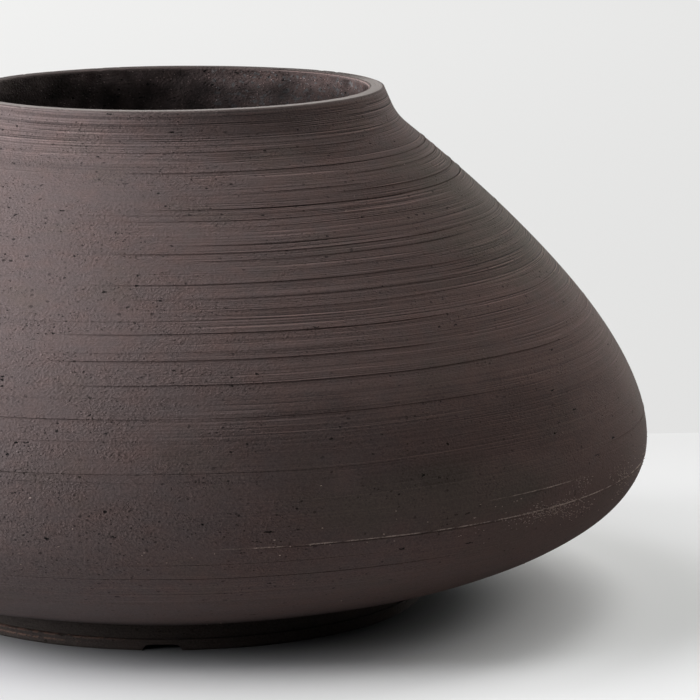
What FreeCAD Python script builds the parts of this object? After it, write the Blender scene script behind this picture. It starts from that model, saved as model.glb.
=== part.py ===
"""A low, wide-bellied pot of black clay, built of five clay members luted together.

Frame: millimetres, +Z up, the axis of the pot on Z, the foot standing on Z = 0.
A notch of the foot ring faces -Y.  Every member is a turned ring or disc, so each
one is drawn as a half section in the XZ plane and revolved about Z.
"""
import FreeCAD, Part
import math
import os

from FreeCAD import Vector

# ---- Driving dimensions: lengths in millimetres, angles in degrees ----------------

# Body
pot_height = 206.6            # ground to the flat of the lip
belly_radius = 190.0          # widest radius of the pot
belly_height = 65.8           # ground to the widest line
wall_thickness = 7.0          # clay wall at the belly and on the shoulder
seam_height = 60.2            # ground to the seam where the two halves are luted
seam_bevel_angle = 25.0       # the luted faces of the seam rise inwards

# Underside and floor
underside_slope = 12.6        # how steeply the underside leaves the foot
floor_thickness = 8.0
floor_overhang = 2.0          # the floor slab reaches this far past the foot ring
floor_bevel = 8.0             # the slab's edge narrows by this much towards its top

# Foot ring
foot_radius = 99.0            # outer radius of the band that stands on the ground
foot_height = 10.7            # ground to the underside of the floor slab
foot_width = 15.0             # outer to inner radius of the band
band_height = 4.4             # the projecting lower band of the foot
band_projection = 2.0         # how far the band stands out from the ring above it
foot_edge_radius = 0.8        # softened edges of the ground face
notch_count = 3
notch_width = 15.0
notch_height = 2.2

# Shoulder, neck and collar
shoulder_slope = 39.6         # the shoulder arrives at the neck at this slope
neck_height = 11.4            # height of the hollow between shoulder and collar
neck_reach = 9.6              # how far the neck's foot stands out from the collar's foot
neck_bevel_angle = 15.0       # the luted faces of the neck rise inwards
collar_height = 7.2           # nearly upright band below the lip
collar_flare = 2.7            # the collar is this much wider at its foot than at the lip
mouth_radius = 78.6           # clear bore of the mouth
lip_width = 6.3
lip_edge_radius = 0.8         # softened edges of the lip

# Fullness of the curves, as shares of the run or the rise that each one spans
underside_fullness = 0.426
lower_belly_fullness = 0.581
upper_belly_fullness = 0.310
shoulder_fullness = 0.572
neck_fullness = 0.507

# ---- Sizes that follow ------------------------------------------------------------

floor_radius = foot_radius + floor_overhang
floor_top_height = foot_height + floor_thickness
inner_belly_radius = belly_radius - wall_thickness
lip_radius = mouth_radius + lip_width
collar_foot_radius = lip_radius + collar_flare
collar_foot_height = pot_height - collar_height
shoulder_top_radius = collar_foot_radius + neck_reach
shoulder_top_height = collar_foot_height - neck_height

AXIS_POINT = Vector(0, 0, 0)
UP = Vector(0, 0, 1)


def at(radius, height):
    """A point of the half section."""
    return Vector(radius, 0, height)


def heading(angle):
    """The unit direction in the half section: 0 points outwards and 90 points up."""
    return at(math.cos(math.radians(angle)), math.sin(math.radians(angle)))


def line(start, end):
    return Part.LineSegment(start, end).toShape()


def curve(start, leaving, arriving, end):
    """A smooth edge shaped by the handles on which it leaves its start and arrives."""
    bezier = Part.BezierCurve()
    bezier.setPoles([start, start + leaving, end - arriving, end])
    return bezier.toShape()


def soft_corner(start, corner, end):
    """The quarter round that softens a square corner."""
    centre = start + end - corner
    middle = centre + (corner - centre) * math.sqrt(0.5)
    return Part.Arc(start, middle, end).toShape()


def outlined(corners):
    """The flat face inside straight edges from corner to corner."""
    return Part.Face(Part.makePolygon(corners + corners[:1]))


def turned(section):
    """The ring or disc that the half section sweeps about the pot's axis."""
    return section.Faces[0].revolve(AXIS_POINT, UP, 360)


def skin_section():
    """All that lies inside the outer skin, from the floor's underside to the lip."""
    foot_end = at(floor_radius, foot_height)
    belly = at(belly_radius, belly_height)
    shoulder_top = at(shoulder_top_radius, shoulder_top_height)
    collar_foot = at(collar_foot_radius, collar_foot_height)
    lip_side = at(lip_radius, pot_height - lip_edge_radius)
    lip_corner = at(lip_radius, pot_height)
    lip_flat = at(lip_radius - lip_edge_radius, pot_height)
    top_centre = at(0, pot_height)
    foot_centre = at(0, foot_height)

    up_shoulder = heading(180 - shoulder_slope)
    up_collar = (lip_side - collar_foot).normalize()
    off_foot = heading(underside_slope) * underside_fullness * (belly_radius - floor_radius)
    to_belly = UP * lower_belly_fullness * (belly_height - foot_height)
    off_belly = UP * upper_belly_fullness * (shoulder_top_height - belly_height)
    to_neck = up_shoulder * shoulder_fullness * (belly_radius - shoulder_top_radius)
    off_neck = up_shoulder * neck_fullness * neck_height
    to_collar = up_collar * neck_fullness * neck_height

    return Part.Face(Part.Wire([
        curve(foot_end, off_foot, to_belly, belly),
        curve(belly, off_belly, to_neck, shoulder_top),
        curve(shoulder_top, off_neck, to_collar, collar_foot),
        line(collar_foot, lip_side),
        soft_corner(lip_side, lip_corner, lip_flat),
        line(lip_flat, top_centre),
        line(top_centre, foot_centre),
        line(foot_centre, foot_end),
    ]))


def hollow_section():
    """The space inside the pot, from the top of the floor out through the mouth."""
    floor_end = at(floor_radius, floor_top_height)
    belly = at(inner_belly_radius, belly_height)
    skin_shoulder_top = at(shoulder_top_radius, shoulder_top_height)
    shoulder_top = skin_shoulder_top - heading(90 - shoulder_slope) * wall_thickness
    last_rise = (shoulder_top.x - mouth_radius) * math.tan(math.radians(shoulder_slope))
    bore_foot = at(mouth_radius, shoulder_top.z + last_rise)
    bore_side = at(mouth_radius, pot_height - lip_edge_radius)
    bore_corner = at(mouth_radius, pot_height)
    lip_flat = at(mouth_radius + lip_edge_radius, pot_height)
    top_centre = at(0, pot_height)
    floor_centre = at(0, floor_top_height)

    off_floor = heading(underside_slope) * underside_fullness * (inner_belly_radius - floor_radius)
    to_belly = UP * lower_belly_fullness * (belly_height - floor_top_height)
    off_belly = UP * upper_belly_fullness * (shoulder_top.z - belly_height)
    up_shoulder = heading(180 - shoulder_slope)
    to_neck = up_shoulder * shoulder_fullness * (inner_belly_radius - shoulder_top.x)

    return Part.Face(Part.Wire([
        curve(floor_end, off_floor, to_belly, belly),
        curve(belly, off_belly, to_neck, shoulder_top),
        line(shoulder_top, bore_foot),
        line(bore_foot, bore_side),
        soft_corner(bore_side, bore_corner, lip_flat),
        line(lip_flat, top_centre),
        line(top_centre, floor_centre),
        line(floor_centre, floor_end),
    ]))


def floor_section():
    """The slab, whose bevelled edge carries the wall."""
    return outlined([
        at(0, foot_height),
        at(floor_radius, foot_height),
        at(floor_radius - floor_bevel, floor_top_height),
        at(0, floor_top_height),
    ])


def wall_section():
    """The whole clay wall, from the slab's bevelled edge to the lip."""
    return skin_section().cut(hollow_section()).cut(floor_section())


def below_joint(radius, height, bevel_angle):
    """All that lies under a luted joint, which passes the skin here and rises inwards."""
    climb = math.tan(math.radians(bevel_angle))
    beyond_skin = 2 * belly_radius
    return outlined([
        at(0, 0),
        at(beyond_skin, 0),
        at(beyond_skin, height - (beyond_skin - radius) * climb),
        at(0, height + radius * climb),
    ])


def below_seam():
    return below_joint(belly_radius, seam_height, seam_bevel_angle)


def below_neck():
    return below_joint(shoulder_top_radius, shoulder_top_height, neck_bevel_angle)


def foot_ring():
    """The turned ring that the pot stands on, with arched notches in its ground face."""
    inner_radius = foot_radius - foot_width
    ring_radius = foot_radius - band_projection
    ring = turned(Part.Face(Part.Wire([
        line(at(inner_radius + foot_edge_radius, 0), at(foot_radius - foot_edge_radius, 0)),
        soft_corner(
            at(foot_radius - foot_edge_radius, 0), at(foot_radius, 0), at(foot_radius, foot_edge_radius)
        ),
        line(at(foot_radius, foot_edge_radius), at(foot_radius, band_height)),
        line(at(foot_radius, band_height), at(ring_radius, band_height)),
        line(at(ring_radius, band_height), at(ring_radius, foot_height)),
        line(at(ring_radius, foot_height), at(inner_radius, foot_height)),
        line(at(inner_radius, foot_height), at(inner_radius, foot_edge_radius)),
        soft_corner(
            at(inner_radius, foot_edge_radius), at(inner_radius, 0), at(inner_radius + foot_edge_radius, 0)
        ),
    ])))
    for notch in range(notch_count):
        ring = ring.cut(notch_tool(notch * 360 / notch_count))
    return ring


def notch_tool(turn):
    """A lying cylinder whose top is the arch of one notch, turned on from the -Y side."""
    arch_radius = (notch_width ** 2 / 4 + notch_height ** 2) / (2 * notch_height)
    centre = Vector(0, 0, notch_height - arch_radius)
    tool = Part.makeCylinder(arch_radius, 2 * foot_radius, centre, Vector(0, -1, 0))
    tool.rotate(AXIS_POINT, UP, turn)
    return tool


def floor_disc():
    """The round slab that closes the pot below and lies on the foot ring."""
    return turned(floor_section())


def lower_bowl():
    """The wide bowl from the slab's edge up to the belly seam."""
    return turned(wall_section().common(below_seam()))


def shoulder():
    """The dome from the belly seam up to the neck."""
    return turned(wall_section().cut(below_seam()).common(below_neck()))


def rim_collar():
    """The thick ring on the shoulder's top: hollow neck, upright collar and flat lip."""
    return turned(wall_section().cut(below_neck()))


os.makedirs("parts", exist_ok=True)
for member in (foot_ring, floor_disc, lower_bowl, shoulder, rim_collar):
    member().exportStep("parts/" + member.__name__ + ".step")
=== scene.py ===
"""A low, wide-bellied pot of black clay: five clay members luted into one fired body.

Metres, +Z up, the pot's axis on Z and its foot on Z = 0.  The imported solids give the
sizes; the pieces here are the same members with their turned, scraped and pitted skin.
"""
import math
import random

import bmesh
import bpy
import numpy as np
from mathutils import Matrix, Vector


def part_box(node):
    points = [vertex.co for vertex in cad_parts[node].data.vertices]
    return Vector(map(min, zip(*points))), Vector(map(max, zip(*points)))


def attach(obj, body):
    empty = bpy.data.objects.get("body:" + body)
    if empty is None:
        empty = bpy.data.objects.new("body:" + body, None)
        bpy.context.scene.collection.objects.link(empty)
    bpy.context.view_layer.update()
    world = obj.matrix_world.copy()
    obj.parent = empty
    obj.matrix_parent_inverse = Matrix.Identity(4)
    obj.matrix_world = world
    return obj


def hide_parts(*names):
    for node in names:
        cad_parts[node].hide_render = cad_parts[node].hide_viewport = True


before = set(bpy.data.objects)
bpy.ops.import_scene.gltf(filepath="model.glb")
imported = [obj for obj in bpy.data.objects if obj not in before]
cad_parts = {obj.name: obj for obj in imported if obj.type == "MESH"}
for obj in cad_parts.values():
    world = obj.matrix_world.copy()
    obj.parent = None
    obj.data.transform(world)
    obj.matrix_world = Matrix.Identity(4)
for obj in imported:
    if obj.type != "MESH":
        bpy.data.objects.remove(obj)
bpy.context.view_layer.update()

# ==== Studio: floor, backdrop, lamps and camera ====================================
# A sheet of pale paper lies under the pot, and behind the pot it is shown as bright as a
# wall.  Wide lamps stand on the left like windows, and weaker ones stand behind and
# above.  None of this is part of the pot.

millimetre = 0.001


class Wire:
    """A socket of a node tree: arithmetic adds Math nodes, and add() adds any other."""

    def __init__(self, tree, socket=None):
        self.tree = tree
        self.socket = socket

    def add(self, kind, settings=None, sockets=None, output=0):
        """A new node's output, after its settings and then its sockets are given."""
        node = self.tree.nodes.new(kind)
        for name, value in (settings or {}).items():
            setattr(node, name, value)
        for name, value in (sockets or {}).items():
            for one in value if isinstance(value, list) else [value]:
                if isinstance(one, Wire):
                    self.tree.links.new(one.socket, node.inputs[name])
                else:
                    node.inputs[name].default_value = one
        return Wire(self.tree, node.outputs[output]) if node.outputs else None

    def math(self, operation, first, second=0.0):
        return self.add("ShaderNodeMath", {"operation": operation}, {0: first, 1: second})

    def __add__(self, other):
        return self.math("ADD", self, other)

    def __sub__(self, other):
        return self.math("SUBTRACT", self, other)

    def __mul__(self, other):
        return self.math("MULTIPLY", self, other)

    def __truediv__(self, other):
        return self.math("DIVIDE", self, other)

    def __radd__(self, other):
        return self.math("ADD", other, self)

    def __rsub__(self, other):
        return self.math("SUBTRACT", other, self)

    def __rmul__(self, other):
        return self.math("MULTIPLY", other, self)

    def step(self, start, end):
        """A soft step from 0 at start to 1 at end; it falls where end is below start."""
        given = {"Value": self, "From Min": start, "From Max": end}
        return self.add("ShaderNodeMapRange", {"interpolation_type": "SMOOTHSTEP"}, given)

    def blend(self, first, second):
        """The colour from first to second by this share."""
        return self.add("ShaderNodeMix", {"data_type": "RGBA"}, {0: self, 6: first, 7: second}, 2)

    def over(self, least):
        """A share from 0 to 1 as one that starts from this least value."""
        return least + (1 - least) * self

    def at_least(self, other):
        """The greater of the two values."""
        return self.math("MAXIMUM", self, other)

    def tint(self, colour):
        """The colour made as light or dark as this value says."""
        tone = self.add("ShaderNodeCombineXYZ", None, {0: self, 1: self, 2: self})
        return self.add("ShaderNodeVectorMath", {"operation": "MULTIPLY"}, {0: colour, 1: tone})


def new_material(name):
    """An empty material and a wire to start its nodes from."""
    material = bpy.data.materials.new(name)
    material.use_nodes = True
    material.node_tree.nodes.clear()
    return material, Wire(material.node_tree)


studio_turn = math.radians(4.2)      # the studio faces a point this far past the notch at -Y
studio = Matrix.Rotation(studio_turn, 4, "Z")

floor_half_width = 12.0
lit_floor = (0.50, 0.50, 0.50, 1)    # how much light the paper throws back onto the pot
seen_floor = (0.88, 0.88, 0.90)
seen_air = (0.815, 0.815, 0.808, 1)
seen_wall = (1.0, 1.0, 0.992)

# How bright the paper is seen, with painted light and shade on it.  Each span is the two places between
# which it changes.
wall_foot = 0.3128                   # it is seen as a wall from this far behind the pot's axis
wall_brightness = 0.83
wall_dimming, wall_dimming_span = 0.12, (-0.7, 0.9)        # the wall dims towards the right
wall_lighting, wall_lighting_span = 0.08, (-0.5, 3.0)      # and is lighter further back
sweep_share, sweep_span = 0.88, (-0.02, wall_foot)         # the paper nears the wall's light
front_share, front_span = 0.58, (-0.116, -0.185)           # and does so in front as well
# Painted falloff of light: the paper is dimmer to the left and right of the middle and behind the pot
dim_left, bright_middle, dim_right = 0.76, 1.13, 1.06
left_span, right_span = (-0.08, 0.09), (0.09, 0.20)        # on either side of the middle
rear_dimming, rear_span = 0.10, (0.08, 0.20)               # behind the pot it dims a little
# Painted shadow: the paper darkens towards the foot
contact_light, contact_span = 0.16, (0.085, 0.14)          # it darkens towards the foot
shadow_middle = 0.012                # the darkest place lies a little right of the pot's axis

paper, start = new_material("pale_paper")
seen = start.add("ShaderNodeLightPath", output="Is Camera Ray")
position = start.add("ShaderNodeTexCoord", output="Object")
sideways = start.add("ShaderNodeSeparateXYZ", None, {0: position}, "X")
depth = start.add("ShaderNodeSeparateXYZ", None, {0: position}, "Y")
behind = depth.step(wall_foot, wall_foot + millimetre)
sweep = depth.step(*sweep_span) * sweep_share
front = depth.step(*front_span) * front_share
even = behind.at_least(sweep).at_least(front)
# The paper's painted light and shade: a painted contact shadow, and dimming to the sides and behind
off_middle = sideways - shadow_middle
from_pot = start.math("POWER", off_middle * off_middle + depth * depth, 0.5)
painted_contact_shadow = from_pot.step(*contact_span).over(contact_light)
light = dim_left + sideways.step(*left_span) * (bright_middle - dim_left)
light = painted_contact_shadow * (light - sideways.step(*right_span) * (bright_middle - dim_right))
light = light * (1 - rear_dimming * depth.step(*rear_span))
colour = seen.blend(lit_floor, light.tint(seen_floor))
ground = start.add("ShaderNodeBsdfDiffuse", None, {"Color": colour})
wall_light = wall_brightness - wall_dimming * sideways.step(*wall_dimming_span)
wall_light = wall_light + wall_lighting * depth.step(*wall_lighting_span)
wall = start.add("ShaderNodeEmission", None, {"Color": wall_light.tint(seen_wall)})
shown = start.add("ShaderNodeMixShader", None, {0: even * seen, 1: ground, 2: wall})
start.add("ShaderNodeOutputMaterial", None, {"Surface": shown})

floor_mesh = bpy.data.meshes.new("floor")
reach = floor_half_width
floor_corners = [(-reach, -reach, 0), (reach, -reach, 0), (reach, reach, 0), (-reach, reach, 0)]
floor_mesh.from_pydata(floor_corners, [], [(0, 1, 2, 3)])
floor_mesh.materials.append(paper)
floor = bpy.data.objects.new("floor", floor_mesh)
floor.matrix_world = studio
bpy.context.collection.objects.link(floor)

world = bpy.data.worlds.new("studio_air")
world.use_nodes = True
world.node_tree.nodes.clear()
air = Wire(world.node_tree)
seen = air.add("ShaderNodeLightPath", output="Is Camera Ray")
ambient = 0.02                       # the air is seen bright and lights the pot only this much
glow = air.add("ShaderNodeBackground", None, {"Color": seen_air, "Strength": seen.over(ambient)})
air.add("ShaderNodeOutputWorld", None, {"Surface": glow})
bpy.context.scene.world = world

lamp_target = Vector((0, 0, 0.1))
lamp_distance = 1.8
lamp_width = 0.9
daylight = (1.0, 1.0, 1.01)
backlight = (0.99, 1.0, 0.96)
lamps = (  # name, side in degrees from the camera's, elevation, watts, colour
    ("window", -90, 20, 48, daylight),
    ("window_top", -90, 40, 14, daylight),
    ("window_near", -60, 20, 24, daylight),
    ("high_left", -120, 62, 8, daylight),
    ("high_right", 120, 62, 12.5, backlight),
    ("right", 90, 40, 6.6, backlight),
    ("low_right", 115, 4, 3.0, backlight),
    ("behind_right", 150, 6, 15.5, backlight),
)
for name, side, elevation, watts, colour in lamps:
    turn, lift = math.radians(side), math.radians(elevation)
    level = Vector((math.sin(turn), -math.cos(turn), 0))
    towards = level * math.cos(lift) + Vector((0, 0, math.sin(lift)))
    light = bpy.data.lights.new(name, "AREA")
    light.shape = "SQUARE"
    light.size = lamp_width
    light.energy = watts
    light.color = colour
    lamp = bpy.data.objects.new(name, light)
    lamp.matrix_world = (
        studio
        @ Matrix.Translation(lamp_target + towards * lamp_distance)
        @ (-towards).to_track_quat("-Z", "Y").to_matrix().to_4x4()
    )
    lamp.visible_camera = False
    bpy.context.collection.objects.link(lamp)

camera_place = Vector((0, -1.5954, 0.3793))
camera_turn = math.radians(-2.52)
camera_dip = math.radians(9.96)
camera_roll = math.radians(-0.485)
camera = bpy.data.objects.new("camera", bpy.data.cameras.new("camera"))
camera.data.sensor_width = 36
camera.data.lens = 205.85
camera.matrix_world = (
    studio
    @ Matrix.Translation(camera_place)
    @ Matrix.Rotation(camera_turn, 4, "Z")
    @ Matrix.Rotation(math.pi / 2 - camera_dip, 4, "X")
    @ Matrix.Rotation(camera_roll, 4, "Z")
)
bpy.context.collection.objects.link(camera)
bpy.context.scene.camera = camera
bpy.context.scene.view_settings.view_transform = "Standard"

# ==== Shoulder ======================================================================
# The dome from the belly seam up to the neck, of black clay with grog.  It is turned on
# the lower bowl and scraped while it spins: the tool leaves long level grooves, burrs
# and pits where it tears out grains, and pale crumbs dry on near the seam.

belly_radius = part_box("shoulder")[1].x
pot_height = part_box("rim_collar")[1].z
foot_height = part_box("foot_ring")[1].z
floor_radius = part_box("floor_disc")[1].x
floor_top_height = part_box("floor_disc")[1].z

belly_height = 0.0658
wall_thickness = 0.007
seam_height = 0.0602
seam_bevel = math.radians(25)
underside_slope = math.radians(12.6)
underside_fullness = 0.426
lower_belly_fullness = 0.581
upper_belly_fullness = 0.310
shoulder_fullness = 0.572
neck_fullness = 0.507

shoulder_slope = math.radians(39.6)
neck_bevel = math.radians(15)
neck_height = 0.0114
neck_reach = 0.0096
collar_height = 0.0072
collar_flare = 0.0027
lip_width = 0.0063
lip_edge_radius = 0.0008
mouth_radius = 0.0786
bore_foot_height = 0.186             # the bore's wall rounds off into the hollow below this
cove_height = 0.172                  # and meets the shoulder's inside at this height
cove_leaving = 0.012
cove_arriving = 0.007
curve_points = 400
corner_points = 12


def heading(angle):
    """The unit direction in the half section: 0 points outwards and a right angle up."""
    return np.array((math.cos(angle), math.sin(angle)))


def curve(start, leaving, arriving, end):
    """Points of the smooth run that leaves start and arrives at end on these handles."""
    share = np.linspace(0, 1, curve_points)[:, None]
    rest = 1 - share
    return (
        rest**3 * start
        + 3 * rest**2 * share * (start + leaving)
        + 3 * rest * share**2 * (end - arriving)
        + share**3 * end
    )


def soft_corner(start, corner, end):
    """Points of the quarter round that softens a square corner."""
    angle = np.linspace(0, math.pi / 2, corner_points)[:, None]
    centre = start + end - corner
    return centre + (start - centre) * np.cos(angle) + (end - centre) * np.sin(angle)


up = heading(math.pi / 2)
up_shoulder = heading(math.pi - shoulder_slope)
belly = np.array((belly_radius, belly_height))
lip_radius = mouth_radius + lip_width
collar_foot = np.array((lip_radius + collar_flare, pot_height - collar_height))
neck_foot = collar_foot + (neck_reach, -neck_height)


def skin_outline():
    """The half section's outside, from the floor's edge up to the lip."""
    foot_end = np.array((floor_radius, foot_height))
    lip_side = np.array((lip_radius, pot_height - lip_edge_radius))
    up_collar = (lip_side - collar_foot) / np.linalg.norm(lip_side - collar_foot)
    off_foot = heading(underside_slope) * underside_fullness * (belly_radius - floor_radius)
    to_belly = up * lower_belly_fullness * (belly_height - foot_height)
    off_belly = up * upper_belly_fullness * (neck_foot[1] - belly_height)
    to_neck = up_shoulder * shoulder_fullness * (belly_radius - neck_foot[0])
    off_neck = up_shoulder * neck_fullness * neck_height
    to_collar = up_collar * neck_fullness * neck_height
    return np.concatenate((
        curve(foot_end, off_foot, to_belly, belly),
        curve(belly, off_belly, to_neck, neck_foot)[1:],
        curve(neck_foot, off_neck, to_collar, collar_foot)[1:],
        soft_corner(lip_side, (lip_radius, pot_height), (lip_radius - lip_edge_radius, pot_height)),
    ))


def hollow_outline():
    """The half section's inside, from the floor's edge up to the lip."""
    floor_end = np.array((floor_radius, floor_top_height))
    inner_belly = belly - (wall_thickness, 0)
    inner_top = neck_foot - heading(math.pi / 2 - shoulder_slope) * wall_thickness
    off_floor = heading(underside_slope) * underside_fullness * (inner_belly[0] - floor_radius)
    to_belly = up * lower_belly_fullness * (belly_height - floor_top_height)
    off_belly = up * upper_belly_fullness * (inner_top[1] - belly_height)
    to_neck = up_shoulder * shoulder_fullness * (inner_belly[0] - inner_top[0])
    dome = curve(inner_belly, off_belly, to_neck, inner_top)[1:]
    dome = dome[dome[:, 1] < cove_height]
    bore_foot = np.array((mouth_radius, bore_foot_height))
    cove = curve(dome[-1], up_shoulder * cove_leaving, up * cove_arriving, bore_foot)
    bore_side = np.array((mouth_radius, pot_height - lip_edge_radius))
    return np.concatenate((
        curve(floor_end, off_floor, to_belly, inner_belly),
        dome,
        cove[1:],
        soft_corner(bore_side, (mouth_radius, pot_height), (mouth_radius + lip_edge_radius, pot_height)),
    ))


class Outline:
    """A drawn line of the half section, read by the distance along it."""

    def __init__(self, points, clay_side):
        self.points = points
        self.clay_side = clay_side           # +1 if the clay lies to the left of the line, else -1
        legs = np.diff(points, axis=0)
        self.distance = np.concatenate(([0], np.cumsum(np.hypot(legs[:, 0], legs[:, 1]))))
        self.length = self.distance[-1]

    def at(self, distance):
        return np.array([np.interp(distance, self.distance, self.points[:, axis]) for axis in (0, 1)])

    def outward(self, distance):
        """The direction out of the clay."""
        reach = 0.2 * millimetre
        before = self.at(max(distance - reach, 0))
        after = self.at(min(distance + reach, self.length))
        along = (after - before) / np.linalg.norm(after - before)
        return np.array((along[1], -along[0])) * self.clay_side

    def to_height(self, height):
        """How far along the line first reaches this height."""
        return float(np.interp(height, self.points[:, 1], self.distance))

    def to_joint(self, height, radius, bevel):
        """How far along the line crosses a luted joint, a cone that rises inwards."""
        over = self.points[:, 1] - height - (radius - self.points[:, 0]) * math.tan(bevel)
        return float(np.interp(0, over, self.distance))


skin = Outline(skin_outline(), 1)
hollow = Outline(hollow_outline(), -1)
past_lip = skin.length + lip_width + hollow.length


def row(place, outward, along, **marks):
    """One point of a section, which the turning draws out into a ring."""
    point = {
        "from_axis": place[0], "height": place[1], "out_r": outward[0], "out_z": outward[1],
        "along": along, "skin": 0, "inside": 0, "lip": 0, "edge": 0, "pale": 0,
        "cut": 0, "cut_from": -math.pi, "cut_to": math.pi,
    }
    point.update(marks)
    return point


# Across a groove or a pale ridge: steps down the skin in millimetres, and the share of
# the full depth or height that is reached there.
groove_shape = ((-0.20, 0.0), (0.0, 1.0), (0.23, -0.50), (0.48, 0.0))
ridge_shape = ((-0.24, 0.0), (-0.12, 1.0), (0.12, 1.0), (0.24, 0.0), (0.42, -2.4), (0.70, 0.0))
ridge_height = 0.12
clear_of_marks = 1.1 * millimetre    # even rows keep this far from the middle of a mark


def settled(distance):
    """The distance to a tenth of a micrometre, so that rows at one place are one row."""
    return round(distance, 7)


def skin_rows(low, high, spacing, grooves, ridges=()):
    """Rows up the skin: even ones, and close ones that shape each groove and pale ridge."""
    wanted = [(*groove, groove_shape, 0) for groove in grooves]
    for height, cut_from, cut_to, paleness in ridges:
        wanted.append((height, -ridge_height, cut_from, cut_to, ridge_shape, paleness))
    marks = {}
    middles = []
    for height, deep, cut_from, cut_to, shape, paleness in wanted:
        middles.append(skin.to_height(height * millimetre))
        for offset, share in shape:
            marks[settled(middles[-1] - offset * millimetre)] = {
                "cut": deep * share * millimetre,
                "cut_from": math.radians(cut_from),
                "cut_to": math.radians(cut_to),
                "pale": paleness * max(share, 0),
            }
    low, high = settled(low), settled(high)
    count = max(2, round((high - low) / spacing))
    for distance in [low + (high - low) * step / count for step in range(count + 1)]:
        if distance in (low, high) or all(abs(distance - mark) > clear_of_marks for mark in middles):
            marks.setdefault(distance, {})
    return [
        row(skin.at(distance), skin.outward(distance), distance, skin=1, **marks[distance])
        for distance in sorted(marks)
        if low <= distance <= high
    ]


def straight_rows(start, end, outward, along, count, **marks):
    """Rows between two places, both left out."""
    leg = end - start
    length = np.linalg.norm(leg)
    return [
        row(start + leg * share, outward, along + length * share, **marks)
        for share in [step / (count + 1) for step in range(1, count + 1)]
    ]


def hollow_rows(start, end, spacing, **marks):
    """Rows along the hollow's wall."""
    count = max(2, round(abs(end - start) / spacing))
    return [
        row(hollow.at(distance), hollow.outward(distance), past_lip - distance, **marks)
        for distance in np.linspace(start, end, count + 1)
    ]


def section_object(name, rows, closed=True):
    """The section as a loop of edges, with what each row needs stored on its point."""
    mesh = bpy.data.meshes.new(name)
    count = len(rows)
    edges = [(step, (step + 1) % count) for step in range(count if closed else count - 1)]
    mesh.from_pydata([(one["from_axis"], 0, one["height"]) for one in rows], edges, [])
    for field in rows[0]:
        values = mesh.attributes.new(field, "FLOAT", "POINT").data
        values.foreach_set("value", [float(one[field]) for one in rows])
    piece = bpy.data.objects.new(name, mesh)
    bpy.context.collection.objects.link(piece)
    return piece


groove_fade = 0.26                   # radians over which a groove runs in and out
light_touch = 0.35                   # the share of its depth where the tool pressed least
drift_reach = 1.6 * millimetre       # how far the rows wander up and down
merge_distance = 0.001 * millimetre
crumb_band = 9                       # millimetres from the seam to the last crumbs
thick_crumbs = (42, 56), (74, 60)    # degrees from -Y: where thick ones begin and end
thin_crumbs = 0.02                   # the share of them that is found elsewhere
smallest_crumb, largest_crumb = (0.4, 0.4, 0.3), (1.8, 1.5, 0.9)
crumb_seed = 5


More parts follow.
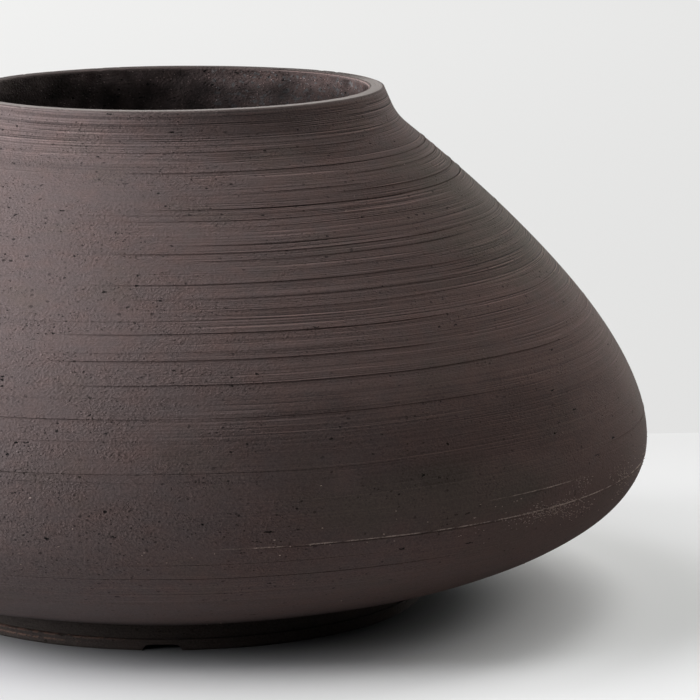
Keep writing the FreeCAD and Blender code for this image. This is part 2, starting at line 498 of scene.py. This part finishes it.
def turning_tree():
    """Geometry Nodes that turn a section about the axis and mark it as the maker's tool did."""
    tree = bpy.data.node_groups.new("turned_clay", "GeometryNodeTree")
    for name, kind in (
        ("Section", "Geometry"), ("Segments", "Int"), ("Sway", "Float"), ("Tool Waves", "Float"),
        ("Finger Waves", "Float"), ("Chips", "Float"), ("Crumb Radius", "Float"), ("Crumbs", "Float"),
        ("Specks", "Float"), ("Seam", "Float"), ("Crease", "Float"), ("Clay", "Material"),
    ):
        tree.interface.new_socket(name=name, in_out="INPUT", socket_type="NodeSocket" + kind)
    tree.interface.new_socket(name="Member", in_out="OUTPUT", socket_type="NodeSocketGeometry")
    start = Wire(tree)

    def given(name):
        return start.add("NodeGroupInput", output=name)

    def stored(name):
        return start.add("GeometryNodeInputNamedAttribute", {"data_type": "FLOAT"}, {"Name": name})

    def store(shape, name, value):
        return start.add(
            "GeometryNodeStoreNamedAttribute",
            {"data_type": "FLOAT", "domain": "POINT"},
            {"Geometry": shape, "Name": name, "Value": value},
        )

    def point(x, y, z):
        return start.add("ShaderNodeCombineXYZ", None, {0: x, 1: y, 2: z})

    # The section is swept round a ring, and each point keeps its own turn about the axis.
    turn = start.add("GeometryNodeInputIndex") * (2 * math.pi) / given("Segments")
    ring = start.add("GeometryNodeCurvePrimitiveCircle", None, {"Resolution": given("Segments")})
    section = start.add("GeometryNodeMeshToCurve", None, {"Mesh": given("Section")})
    swept = {"Curve": store(ring, "turn", turn), "Profile Curve": section}
    shape = start.add("GeometryNodeCurveToMesh", None, swept)
    radius, height, along = stored("from_axis"), stored("height"), stored("along")
    cosine = start.math("COSINE", stored("turn"))
    sine = start.math("SINE", stored("turn"))
    x, y = radius * cosine, radius * sine

    def waves(across, upward, detail, level=along):
        """Noise about zero, with this many waves to the metre across the clay and up it."""
        place = point(x * across, y * across, level * upward)
        noise = {"Vector": place, "Scale": 1.0, "Detail": detail}
        return start.add("ShaderNodeTexNoise", None, noise) - 0.5

    # The wall sways, the tool and the fingers leave waves, and sharp edges lose chips.
    turned = stored("skin").at_least(stored("inside"))
    sway = waves(across=14, upward=14, detail=1, level=height) * given("Sway") * turned
    tool = waves(across=12, upward=170, detail=2) + 0.5 * waves(across=22, upward=380, detail=1)
    tool = tool * given("Tool Waves") * stored("skin")
    finger = waves(across=18, upward=75, detail=2) * given("Finger Waves") * stored("inside")
    chips = waves(across=120, upward=120, detail=2, level=height).step(0.11, 0.19)
    chips = chips * given("Chips") * stored("edge")

    # A groove runs from one side to another, and is deepest where the tool pressed hard.
    facing = start.math("ARCTAN2", sine, cosine) + math.pi / 2
    facing = facing - 2 * math.pi * start.math("GREATER_THAN", facing, math.pi)
    opened = facing.step(stored("cut_from"), stored("cut_from") + groove_fade)
    closed = facing.step(stored("cut_to"), stored("cut_to") - groove_fade)
    pressed = waves(across=12, upward=40, detail=2).step(-0.20, -0.02)
    groove = stored("cut") * opened * closed * pressed.over(light_touch)

    lift = sway + tool + finger - groove - chips
    drift = waves(across=9, upward=26, detail=1) * drift_reach * stored("skin")
    out_r, out_z = stored("out_r"), stored("out_z")
    new_radius = radius + out_r * lift - out_z * drift
    new_height = height + out_z * lift + out_r * drift
    placed = point(new_radius * cosine, new_radius * sine, new_height)
    shape = start.add("GeometryNodeSetPosition", None, {"Geometry": shape, "Position": placed})
    shape = store(shape, "groove", groove / millimetre)
    crusted = waves(across=330, upward=60, detail=3).step(-0.06, 0.0)
    shape = store(shape, "crust", stored("pale") * opened * closed * crusted)
    merged = {"Geometry": shape, "Distance": merge_distance}
    shape = start.add("GeometryNodeMergeByDistance", None, merged)
    smooth = start.math("LESS_THAN", start.add("GeometryNodeInputMeshEdgeAngle"), given("Crease"))
    smoothed = {"Geometry": shape, "Shade Smooth": smooth}
    shape = start.add("GeometryNodeSetShadeSmooth", {"domain": "EDGE"}, smoothed)

    # Crumbs of slip dry on near the seam, thickly on one side, and a few specks elsewhere.
    from_seam = start.math("ABSOLUTE", (height - given("Seam")) / millimetre)
    clustered = waves(across=30, upward=90, detail=2, level=height).step(-0.10, 0.04)
    begin, end = [[math.radians(side) for side in span] for span in thick_crumbs]
    thick = facing.step(*begin) * facing.step(*end)
    crumbed = from_seam.step(crumb_band, 0) * clustered * given("Crumbs") * thick.over(thin_crumbs)
    density = (crumbed + given("Specks")) * stored("skin")
    spread = {"Mesh": shape, "Density": density, "Seed": crumb_seed}
    spots = start.add("GeometryNodeDistributePointsOnFaces", None, spread)
    ball = {"Radius": given("Crumb Radius"), "Subdivisions": 1}
    crumb = store(start.add("GeometryNodeMeshIcoSphere", None, ball), "crumb", 1.0)
    span = {0: smallest_crumb, 1: largest_crumb}
    stretch = start.add("FunctionNodeRandomValue", {"data_type": "FLOAT_VECTOR"}, span)
    strewn = {"Points": spots, "Instance": crumb, "Scale": stretch}
    crumbs = start.add("GeometryNodeInstanceOnPoints", None, strewn)

    shape = start.add("GeometryNodeJoinGeometry", None, {"Geometry": [shape, crumbs]})
    shape = start.add("GeometryNodeRealizeInstances", None, {"Geometry": shape})
    shape = start.add("GeometryNodeSetMaterial", None, {"Geometry": shape, "Material": given("Clay")})
    start.add("NodeGroupOutput", None, {"Member": shape})
    return tree


def grown(piece, tree, inputs):
    """The piece with its mesh replaced by what the tree makes of it, faces outwards."""
    modifier = piece.modifiers.new("nodes", "NODES")
    modifier.node_group = tree
    for item in tree.interface.items_tree:
        if item.name in inputs:
            modifier[item.identifier] = inputs[item.name]
    seen_by = bpy.context.evaluated_depsgraph_get()
    mesh = bpy.data.meshes.new_from_object(
        piece.evaluated_get(seen_by), preserve_all_data_layers=True, depsgraph=seen_by
    )
    piece.modifiers.remove(modifier)
    piece.data = mesh
    solid = bmesh.new()
    solid.from_mesh(mesh)
    bmesh.ops.recalc_face_normals(solid, faces=solid.faces)
    solid.to_mesh(mesh)
    solid.free()
    return piece


# Smoke clouds, and at 82 degrees a painted reflection that greens the right edge: side in degrees from
# -Y, height, width and depth in millimetres, and how green and how dark each one is.
smoke_and_reflection_clouds = (
    (35, 72, 58, 13, 0.8, 0.06), (66, 190, 22, 8, 0.8, 0.04),
    # The cloud at 82 degrees is a painted reflection of the light from behind, not smoke
    (82, 165, 85, 35, 0.9, 0.00), (118, 110, 80, 30, 0.8, 0.00),
    (-140, 80, 90, 26, 0.8, 0.10), (-95, 150, 60, 20, 0.8, 0.06),
    (34, 92, 110, 18, 0.0, 0.30),
)
cloud_circle = 175                   # millimetres from the axis to the middle of each
half_height = 100                    # millimetres to about the middle of the pot

pale_lip = (0.205, 0.184, 0.176, 1)
dark_back_lip = (0.068, 0.057, 0.054, 1)
ash_grey = (0.105, 0.106, 0.110, 1)
pale_crust = (0.60, 0.48, 0.42, 1)

# How much each mark lightens or darkens the clay, and how far it rises in millimetres
fine_line_shade, fine_line_rise = 1.35, 0.25
# Painted shade on each hairline, and a painted highlight on the edge just below it
hair_edge_painted_highlight, hair_edge_rise = 0.75, 0.10
hair_painted_shade, hair_rise = -0.42, -0.12
grain_shade, grain_rise = 0.80, 0.13
peel_shade, peel_rise, gritty_peel_rise = 0.62, 0.34, 0.16
crumb_shade, inside_crumb_shade, crumb_rise = 0.40, 1.8, 0.34
# Painted shade darkens the pits
small_pit_painted_shade, torn_pit_painted_shade = 0.68, 0.95
small_pit_depth, pit_rise = 0.9, -0.50
# A painted highlight lights each groove's burr
cut_shade, burr_painted_highlight = -0.15, 0.32
under_lip_shade, painted_shade_near_foot = -0.28, -0.90


class ClayFace:
    """Where a point of the clay lies, in millimetres, and the patterns that mark it."""

    def __init__(self, start):
        self.start = start
        position = start.add("ShaderNodeTexCoord", output="Object")
        self.x, self.y, self.z = [
            start.add("ShaderNodeSeparateXYZ", None, {0: position}, axis) / millimetre
            for axis in "XYZ"
        ]
        self.along = self.stored("along") / millimetre
        self.inside = self.stored("inside")
        self.sideways = self.x * math.cos(studio_turn) + self.y * math.sin(studio_turn)
        self.depth = self.y * math.cos(studio_turn) - self.x * math.sin(studio_turn)
        self.rightward = self.sideways / (belly_radius / millimetre)
        self.upward = (self.z - half_height) / half_height
        self.neck = self.z.step(182, 190)    # zones, each of which sets in between two heights
        self.low = self.z.step(58, 36)
        self.swirl = self.noise(1.1, 0.9, 1.0, output="Color")

    def stored(self, field):
        return self.start.add("ShaderNodeAttribute", {"attribute_name": field}, None, "Fac")

    def place(self, wide, tall, lower=0.0):
        """Where in a pattern of marks this wide and tall, moved down by lower."""
        where = {0: self.x / wide, 1: self.y / wide, 2: (self.along + lower) / tall}
        return self.start.add("ShaderNodeCombineXYZ", None, where)

    def noise(self, wide, tall, detail=2.0, lower=0.0, output=0):
        """A cloudy pattern from 0 to 1."""
        given = {"Vector": self.place(wide, tall, lower), "Scale": 1.0, "Detail": detail}
        return self.start.add("ShaderNodeTexNoise", None, given, output)

    def grains(self, wide, tall):
        """The distance from the nearest grain's middle, and a chance of its own for each grain."""
        given = {0: self.swirl, 1: (0.5, 0.5, 0.5), 2: self.place(wide, tall)}
        where = self.start.add("ShaderNodeVectorMath", {"operation": "MULTIPLY_ADD"}, given)
        near = self.start.add("ShaderNodeTexVoronoi", None, {"Vector": where, "Scale": 1.0})
        chance = self.start.add("ShaderNodeTexVoronoi", None, {"Vector": where, "Scale": 1.0}, "Color")
        return near, self.start.add("ShaderNodeSeparateColor", None, {0: chance})

    def lined(self):
        """Where the tool's fine lines show: most on the right and high up, and at the neck."""
        calm_side = self.rightward.step(0.25, 0.70) * self.z.step(150, 105)
        lined = self.rightward.step(-0.20, 0.30) * self.upward.step(-0.45, 0.30)
        lined = lined * (1 - 0.40 * calm_side)
        lined = lined.at_least(0.7 * self.neck).at_least(0.4 * self.low)
        return lined * (2.2 * self.noise(60, 30) - 0.1) * (1 - self.inside)

    def smoke_and_painted_light(self):
        """How green and how dark the clay is: clouds left by the firing, painted shade over the belly,
        and a painted reflection at the right edge.
        """
        greened = self.noise(36, 24, 4.0).step(0.54, 0.70) * 0.3
        # Painted shade: the belly is darker between these heights, less so on the right
        belly_painted_shade = 0.16 - 0.10 * self.rightward.step(0.2, 0.4)
        soot_and_painted_shade = self.z.step(135, 100) * self.z.step(22, 45) * belly_painted_shade
        soot_and_painted_shade = soot_and_painted_shade + 0.07 * self.z.step(95, 75) * self.z.step(40, 52)
        for side, height, wide, deep, green_share, dark_share in smoke_and_reflection_clouds:
            turn = math.radians(side)
            off_x = (self.x - math.sin(turn) * cloud_circle) / wide
            off_y = (self.y + math.cos(turn) * cloud_circle) / wide
            off_z = (self.z - height) / deep
            ragged = 2.4 * (self.noise(26, 15, 3.0) - 0.5)
            cloud = (off_x * off_x + off_y * off_y + off_z * off_z + ragged).step(1.6, 0.1)
            greened = greened.at_least(cloud * green_share)
            soot_and_painted_shade = soot_and_painted_shade.at_least(cloud * dark_share)
        return greened, soot_and_painted_shade


def clay(name, brown, grey, green, crusted, roughness, grit, lines):
    """Fired black clay: mottled body, clouds left by the firing, tool lines, grit, pits and pale crust,
    with painted light and shade.
    """
    material, start = new_material(name)
    face = ClayFace(start)
    noise, z, inside, rightward = face.noise, face.z, face.inside, face.rightward

    # The tool's lines, the grit and the pits that torn-out grains leave
    lined = face.lined()
    gritty = (noise(30, 9, 3.0) - 0.14 * rightward).step(0.38, 0.62)
    gritty = (gritty * (1 - 0.20 * lined) * (1 - 0.7 * face.low)).at_least(inside)
    fine_lines = noise(150, 0.55, 1.0) - 0.5
    broken = noise(45, 5).step(0.38, 0.50)
    hair = noise(120, 0.70, 1.0).step(0.59, 0.63) * broken
    hair_edge = noise(120, 0.70, 1.0, lower=0.36).step(0.59, 0.63) * broken
    grain = noise(0.62, 0.50) - 0.5
    peel = noise(1.10, 0.80) - 0.5
    near, chance = face.grains(1.45, 1.0)
    small_pits = near.step(0.31, 0.22) * chance.step(0.79, 0.84) * gritty.over(0.12)
    crumbs = near.step(0.36, 0.14) * chance.step(0.34, 0.18) * gritty.over(0.14)
    near, chance = face.grains(3.0, 2.2)
    large_pits = near.step(0.238, 0.198) * chance.step(0.89, 0.91) * gritty.over(0.40)
    near, chance = face.grains(8, 2.0)
    gouges = near.step(0.185, 0.145) * chance.step(0.955, 0.965)
    torn = large_pits.at_least(gouges)
    painted_pit_shade = (small_pits * small_pit_painted_shade).at_least(torn * torn_pit_painted_shade)
    pits = (small_pits * small_pit_depth).at_least(torn)
    groove = face.stored("groove")
    cut = groove.step(0.02, 0.25)
    burr = groove.step(-0.01, -0.12)

    # The body is redder in patches, and redder to the right as painted warm light; smoke greened and
    # darkened it, painted shade darkens the belly, painted light lifts the upper left, and it is darker
    # just under the lip
    greened, soot_and_painted_shade = face.smoke_and_painted_light()
    blotch = noise(8, 6) - 0.5
    # Painted warm light: besides its patches, the body grows redder to the right
    redness = 0.34 + 0.60 * rightward - 0.05 * face.upward
    redness = redness + 0.7 * (noise(60, 30, 3.0) - 0.5) + 0.8 * blotch
    colour = redness.step(-0.1, 1.0).blend(grey, brown)
    colour = greened.blend(colour, green)
    # Painted light: the upper left is a little lighter
    left_light = z.step(70, 110) * rightward.step(0.0, -0.25)
    under_lip = z.step(200, 204) * rightward.step(-0.22, 0.04) * rightward.step(0.42, 0.22)
    shade = (1 + 0.10 * blotch) * (1 - soot_and_painted_shade) * (1 + 0.08 * left_light)
    shade = shade * (1 + under_lip_shade * under_lip)

    # Each mark lightens or darkens it
    line_share = lines * lined.over(0.07) * (0.90 + 0.45 * face.upward)
    grain_share = grit * (0.74 + 0.32 * gritty) * (1 - 0.14 * rightward)
    line_marks = fine_line_shade * fine_lines + hair_edge_painted_highlight * hair_edge + hair_painted_shade * hair
    grain_marks = grain_shade * grain + peel_shade * peel
    grain_marks = grain_marks + (crumb_shade + inside_crumb_shade * inside) * crumbs
    shade = shade + line_share * line_marks + grain_share * grain_marks
    # Painted shade darkens the pits and a painted highlight lights each groove's burr; the grooves are
    # darker
    shade = shade * (1 - painted_pit_shade) * (1 + cut_shade * cut) * (1 + burr_painted_highlight * burr)
    # Painted shade: the bowl's outer skin darkens towards the foot, below 24 mm
    bare = face.stored("skin").step(0.5, 1.0)
    shade = shade * (1 + painted_shade_near_foot * bare * z.step(24, 13))

    # Inside it is mottled and, as painted shade, darker deeper down; painted light lifts the shaded left
    # a little and lights a patch where the light falls in, with ash there
    sunlit = face.sideways.step(14, 19)
    # Real mottling, and a painted patch of light where the light falls in
    mottled = 0.94 + 2.5 * (noise(9, 7, 3.0) - 0.5) + 0.45 * sunlit * face.sideways.step(44, 28)
    # Painted shade: darker deeper down, with the shaded left lifted a little
    inside_painted_shade = 0.22 + 0.39 * z.step(197, 204) + 0.08 * (1 - sunlit)
    shade = shade * (1 - inside + inside * mottled * inside_painted_shade)
    ash = inside * sunlit * noise(2.4, 1.8).step(0.56, 0.64)
    colour = shade.tint((0.7 * ash).blend(colour, ash_grey))

    # The lip is pale in front and darker behind, and the dried slip is a pale crust
    colour = face.stored("lip").blend(colour, face.depth.step(45, 15).blend(dark_back_lip, pale_lip))
    crust = face.stored("crust") * noise(1.0, 0.6, 1.0).step(0.40, 0.50).over(0.35)
    crust = crust.at_least(0.45 * face.stored("crumb"))
    colour = crust.blend(colour, crusted)

    relief = fine_line_rise * fine_lines + hair_edge_rise * hair_edge + hair_rise * hair
    grain_relief = grain_rise * grain + (peel_rise + gritty_peel_rise * gritty) * peel
    grain_relief = grain_relief + crumb_rise * crumbs
    relief = line_share * relief + grain_share * grain_relief + pit_rise * pits
    bumps = {"Strength": 1.0, "Distance": millimetre, "Height": relief}
    normal = start.add("ShaderNodeBump", None, bumps)
    given = {
        "Base Color": colour, "Roughness": roughness, "Normal": normal, "Specular IOR Level": 0.10,
    }
    surface = start.add("ShaderNodeBsdfPrincipled", None, given)
    start.add("ShaderNodeOutputMaterial", None, {"Surface": surface})
    return material


scraped_clay = clay(
    "scraped_clay", brown=(0.0940, 0.0605, 0.0550, 1), grey=(0.0830, 0.0652, 0.0645, 1),
    green=(0.0740, 0.0585, 0.0505, 1), crusted=pale_crust, roughness=0.85, grit=1.0, lines=1.0,
)

turned_clay = turning_tree()

# Grooves: height and depth in millimetres, and where each starts and ends in degrees
# from -Y.  Pale ridges of dried slip: height, start, end and paleness.
named_grooves = (
    (185.0, 0.42, -11, 150), (183.0, 0.18, -36, -20), (181.6, 0.25, 34, 140), (179.5, 0.16, 44, 70),
    (177.9, 0.16, 14, 54), (176.0, 0.32, 32, 120), (172.9, 0.34, -6, 160), (171.2, 0.14, -20, 60),
    (169.2, 0.20, -13, 54), (167.0, 0.14, 10, 70), (161.4, 0.20, -1, 44), (158.8, 0.34, -11, 130),
    (156.2, 0.28, 1, 69), (152.4, 0.14, 20, 80), (148.7, 0.26, -16, 74), (144.0, 0.20, -11, 64),
    (140.0, 0.14, 0, 60), (137.0, 0.12, -30, 40), (132.8, 0.26, -19, 54), (126.8, 0.12, -50, 40),
    (124.2, 0.34, -19, 49), (116.2, 0.30, -16, 74), (112.0, 0.12, -60, 10), (105.2, 0.28, -60, 54),
    (98.0, 0.12, -40, 30), (87.0, 0.22, -60, 40), (84.2, 0.16, -60, 24), (71.2, 0.12, -60, -8),
)
pale_ridges = ((60.2, 6, 178, 1.0), (68.3, 38, 62, 0.5))
least_gap = 2.0                      # millimetres between grooves that fall at random
seeded_depths = (0.12, 0.40)
seeded_starts = (55, 140)            # degrees round from -Y, on either side
shortest_groove = 30


def seeded_grooves(seed, low, high, count, taken):
    """More grooves, at random heights clear of those taken, away from the notch at -Y."""
    dice = random.Random(seed)
    heights = [other[0] for other in taken]
    found = []
    while len(found) < count:
        height = dice.uniform(low, high)
        if all(abs(height - other) > least_gap for other in heights):
            heights.append(height)
            begin = dice.uniform(*seeded_starts)
            end = dice.uniform(begin + shortest_groove, 180)
            span = (begin, end) if dice.random() < 0.5 else (-end, -begin)
            found.append((height, dice.uniform(*seeded_depths), *span))
    return tuple(found)


seam_on_skin = skin.to_height(seam_height)
seam_in_hollow = hollow.to_joint(seam_height, belly_radius, seam_bevel)
neck_on_skin = skin.to_height(neck_foot[1])
neck_in_hollow = hollow.to_joint(neck_foot[1], neck_foot[0], neck_bevel)
cove_in_hollow = hollow.to_height(cove_height)
seam_face = -heading(math.pi / 2 - seam_bevel)
neck_face = heading(math.pi / 2 - neck_bevel)

shoulder_grooves = named_grooves + seeded_grooves(
    seed=4, low=72, high=186, count=12, taken=named_grooves + pale_ridges
)
shoulder_rows = (
    skin_rows(seam_on_skin, neck_on_skin, 1.8 * millimetre, shoulder_grooves, pale_ridges)
    + straight_rows(skin.at(neck_on_skin), hollow.at(neck_in_hollow), neck_face, neck_on_skin, count=3)
    + hollow_rows(neck_in_hollow, cove_in_hollow, 1.2 * millimetre, inside=1)
    + hollow_rows(cove_in_hollow, seam_in_hollow, 6 * millimetre, inside=1)[1:]
    + straight_rows(hollow.at(seam_in_hollow), skin.at(seam_on_skin), seam_face, seam_on_skin, count=2)
)
turning = {
    "Segments": 330, "Sway": 1.0 * millimetre, "Tool Waves": 0.055 * millimetre,
    "Finger Waves": 1.2 * millimetre, "Chips": 0.0, "Crumb Radius": 0.28 * millimetre,
    "Crumbs": 2600000.0, "Specks": 300.0, "Seam": seam_height, "Crease": math.radians(8),
    "Clay": scraped_clay,
}
shoulder = grown(section_object("clay_shoulder", shoulder_rows), turned_clay, turning)
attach(shoulder, "root")
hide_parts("shoulder")

# ==== Lower bowl ====================================================================
# The wide bowl from the floor slab's edge up to the belly seam, of the same clay.  It is
# turned first and left to stiffen, and its upper edge is scored and luted to the shoulder.

floor_bevel = 0.008
bowl_grooves = (
    (54.2, 0.14, -12, 34), (48.2, 0.30, -22, 44), (41.0, 0.16, -26, 34), (36.0, 0.16, -36, 24),
)
bowl_grooves += seeded_grooves(
    seed=11, low=16, high=57, count=6, taken=bowl_grooves + pale_ridges[:1]
)
slab_edge = np.array((floor_radius - floor_bevel, floor_top_height))
lower_bowl_rows = (
    skin_rows(0, seam_on_skin, 1.6 * millimetre, bowl_grooves, pale_ridges[:1])
    + straight_rows(skin.at(seam_on_skin), hollow.at(seam_in_hollow), -seam_face, seam_on_skin, count=2)
    + hollow_rows(seam_in_hollow, 0, 4 * millimetre, inside=1)
    + straight_rows(hollow.at(0), slab_edge, up, past_lip, count=1)
    + [row(slab_edge, up, past_lip + floor_bevel)]
    + straight_rows(slab_edge, skin.at(0), -heading(math.pi / 4), 0, count=2)
)
lower_bowl = grown(section_object("clay_lower_bowl", lower_bowl_rows), turned_clay, turning)
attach(lower_bowl, "root")
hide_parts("lower_bowl")

# ==== Rim collar ====================================================================
# The thick ring on the shoulder's top.  It makes the hollow of the neck, a short upright
# collar and the flat lip, which the maker cut level with a wire and left sharp and pale.

collar_grooves = (
    (201.0, 0.10, -46, 44), (198.8, 0.12, -16, 49), (197.2, 0.24, -43, 54),
    (191.7, 0.30, -24, 64), (190.2, 0.20, 4, 54), (188.9, 0.18, -4, 64),
)
lip_round = 1.1 * millimetre
rim_rows = (
    skin_rows(neck_on_skin, skin.length, 0.6 * millimetre, collar_grooves)
    + straight_rows(skin.at(skin.length), hollow.at(hollow.length), up, skin.length, count=12, lip=1)
    + hollow_rows(hollow.length, hollow.length - lip_round, 0.25 * millimetre, lip=0.3, edge=1)
    + hollow_rows(hollow.length - lip_round, neck_in_hollow, 0.8 * millimetre, inside=1)[1:]
    + straight_rows(hollow.at(neck_in_hollow), skin.at(neck_on_skin), -neck_face, neck_on_skin, count=4)
)
outer_edge = {"edge": 1, "lip": 0.15}
for one in rim_rows:
    if one["skin"] and one["height"] > pot_height - lip_edge_radius:
        one.update(outer_edge)
rim_turning = {**turning, "Segments": 512, "Chips": 0.5 * millimetre, "Crease": math.radians(40)}
rim_collar = grown(section_object("clay_rim_collar", rim_rows), turned_clay, rim_turning)
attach(rim_collar, "root")
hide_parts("rim_collar")

# ==== Foot ring =====================================================================
# The ring that the pot stands on, trimmed from a thick coil of the same clay: a band
# that projects at the ground, worn pale on its ledge, a recess above it, and three low
# notches cut below.

foot_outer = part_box("foot_ring")[1].x
foot_width = 0.015
band_height = 0.0044
band_projection = 0.002
foot_edge_radius = 0.0008
notch_count = 3
notch_width = 0.015
notch_height = 0.0022
notch_squareness = 6                 # the knife left the notch's roof nearly flat
worn_line_low, worn_line_high = 0.0024, 0.0028    # a pale line round the band
foot_along = 2                       # its place in the patterns, far from the other pieces'
foot_inner = foot_outer - foot_width


def cornered_rows(corners, spacing, along, marks):
    """Rows along straight legs from corner to corner, each leg with its own marks."""
    rows = []
    for begin, end, given in zip(corners, corners[1:], marks):
        leg = np.subtract(end, begin)
        length = np.linalg.norm(leg)
        outward = np.array((leg[1], -leg[0])) / length
        count = max(1, round(length / spacing))
        for step in range(count):
            place = begin + leg * step / count
            rows.append(row(place, outward, along + len(rows) * spacing, **given))
    return rows


foot_corners = [np.array(corner) for corner in (
    (foot_inner + foot_edge_radius, 0), (foot_outer - foot_edge_radius, 0),
    (foot_outer, foot_edge_radius), (foot_outer, worn_line_low), (foot_outer, worn_line_high),
    (foot_outer, band_height),
    (foot_outer - band_projection, band_height), (foot_outer - band_projection, foot_height),
    (foot_inner, foot_height), (foot_inner, foot_edge_radius), (foot_inner + foot_edge_radius, 0),
)]
left_side = {"cut_from": math.radians(-80), "cut_to": math.radians(-14)}
worn_line = {"pale": 1, "skin": 0.4, **left_side}
worn_edge = {"pale": 1, "edge": 1, **left_side, "cut_to": math.radians(-2)}
rubbed = {"skin": 0.4}
foot_marks = ({}, {}, rubbed, worn_line, rubbed, worn_edge, rubbed, {}, rubbed, {})
foot_rows = cornered_rows(foot_corners, 0.8 * millimetre, foot_along, foot_marks)
worn_ledge = (0.150, 0.090, 0.072, 1)
# Painted shade: the foot's clay is about half as light as the body's same clay, as the ring stands in
# shade under the bowl
shaded_foot_clay = clay(
    "shaded_foot_clay", brown=(0.050, 0.036, 0.032, 1), grey=(0.044, 0.037, 0.034, 1),
    green=(0.040, 0.036, 0.032, 1), crusted=worn_ledge, roughness=0.90, grit=1.5, lines=0.6,
)
foot_turning = {**rim_turning, "Segments": 720, "Crumbs": 0.0, "Clay": shaded_foot_clay}
foot_ring = grown(section_object("clay_foot_ring", foot_rows), turned_clay, foot_turning)
notch_spacing = 2 * math.pi / notch_count
for vertex in foot_ring.data.vertices:
    facing = math.atan2(vertex.co.x, -vertex.co.y)
    off_notch = facing - round(facing / notch_spacing) * notch_spacing
    across = math.hypot(vertex.co.x, vertex.co.y) * math.sin(off_notch)
    if abs(across) < notch_width / 2 and vertex.co.z < band_height:
        flat_arch = notch_height * (1 - abs(2 * across / notch_width) ** notch_squareness) ** 0.5
        vertex.co.z += flat_arch * (1 - vertex.co.z / band_height)
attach(foot_ring, "root")
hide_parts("foot_ring")

# ==== Floor disc ====================================================================
# The slab that closes the pot below, beaten flat from coarser clay and luted into the
# bowl.  Its top keeps the waves of the maker's fingers, and its underside is left flat.

rough_clay = clay(
    "rough_clay", brown=(0.072, 0.048, 0.044, 1), grey=(0.064, 0.050, 0.048, 1),
    green=(0.054, 0.045, 0.039, 1), crusted=pale_crust, roughness=0.90, grit=1.4, lines=0.4,
)
slab_along, slab_reach = 3, 0.2      # its place in the patterns
slab_corners = [np.array(corner) for corner in (
    (0.0, foot_height), (floor_radius, foot_height), slab_edge, (0.0, floor_top_height),
)]
slab_marks = ({}, {}, {"inside": 0.5})
slab_rows = cornered_rows(slab_corners, 1.8 * millimetre, slab_along, slab_marks)
slab_rows.append(row(slab_corners[-1], up, slab_along + slab_reach))
slab_turning = {
    **turning, "Segments": 256, "Crumbs": 0.0, "Crease": math.radians(40), "Clay": rough_clay,
}
slab_section = section_object("clay_floor_disc", slab_rows, closed=False)
floor_disc = grown(slab_section, turned_clay, slab_turning)
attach(floor_disc, "root")
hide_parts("floor_disc")
